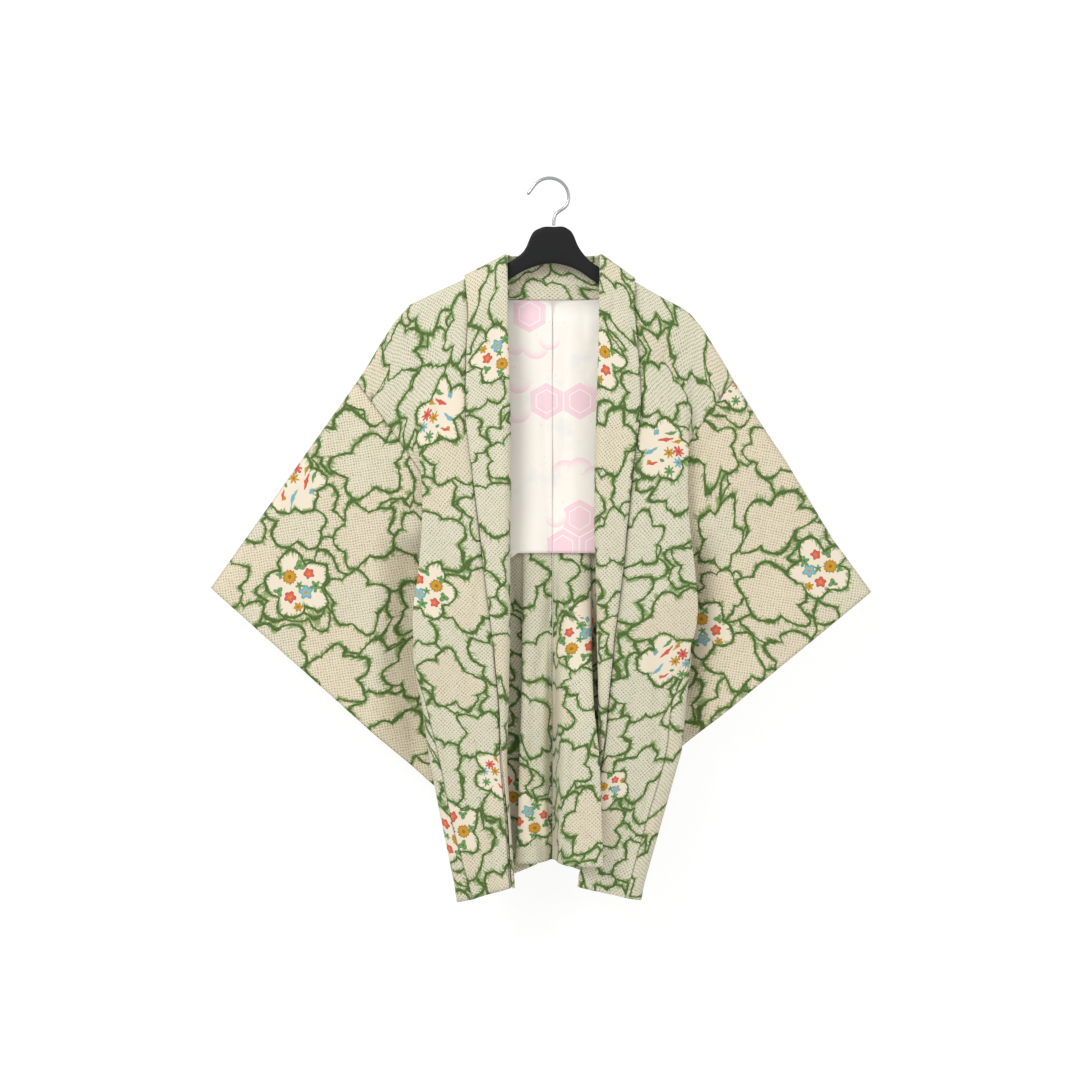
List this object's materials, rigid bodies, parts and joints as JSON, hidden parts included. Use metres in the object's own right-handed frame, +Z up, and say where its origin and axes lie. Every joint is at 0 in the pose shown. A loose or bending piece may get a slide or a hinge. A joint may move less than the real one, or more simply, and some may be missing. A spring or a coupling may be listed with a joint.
{
  "type": "haori jacket on a clothes hanger",
  "caption": "Open-fronted hip-length kimono jacket with square pouch sleeves and a folded collar band, hanging on a plain clothes hanger.",
  "frame": {"origin": "top of the inside of the hanger's hook, where it rests on a rail or wall hook", "axes": "+Z up along the hanging garment, -Y towards the jacket's open front, +Y towards the wall, +X towards the wearer's left"},
  "size_m": [0.8608, 0.0898, 0.9427],
  "materials": {
    "body_right": "crinkled silk printed with tie-dye stars",
    "body_left": "crinkled silk printed with tie-dye stars",
    "sleeve_right": "crinkled silk printed with tie-dye stars",
    "sleeve_left": "crinkled silk printed with tie-dye stars",
    "gusset_right": "crinkled silk printed with tie-dye stars",
    "gusset_left": "crinkled silk printed with tie-dye stars",
    "lining_right": "smooth printed silk lining",
    "lining_left": "smooth printed silk lining",
    "collar": "crinkled silk printed with tie-dye stars",
    "hanger_body": "black moulded plastic",
    "hanger_hook": "plated bent wire"
  },
  "bodies": {
    "root": {"body_right": "body_right", "body_left": "body_left", "sleeve_right": "sleeve_right", "sleeve_left": "sleeve_left", "gusset_right": "gusset_right", "gusset_left": "gusset_left", "lining_right": "lining_right", "lining_left": "lining_left", "collar": "collar", "hanger_body": "hanger_body", "hanger_hook": "hanger_hook"}
  },
  "joints": []
}
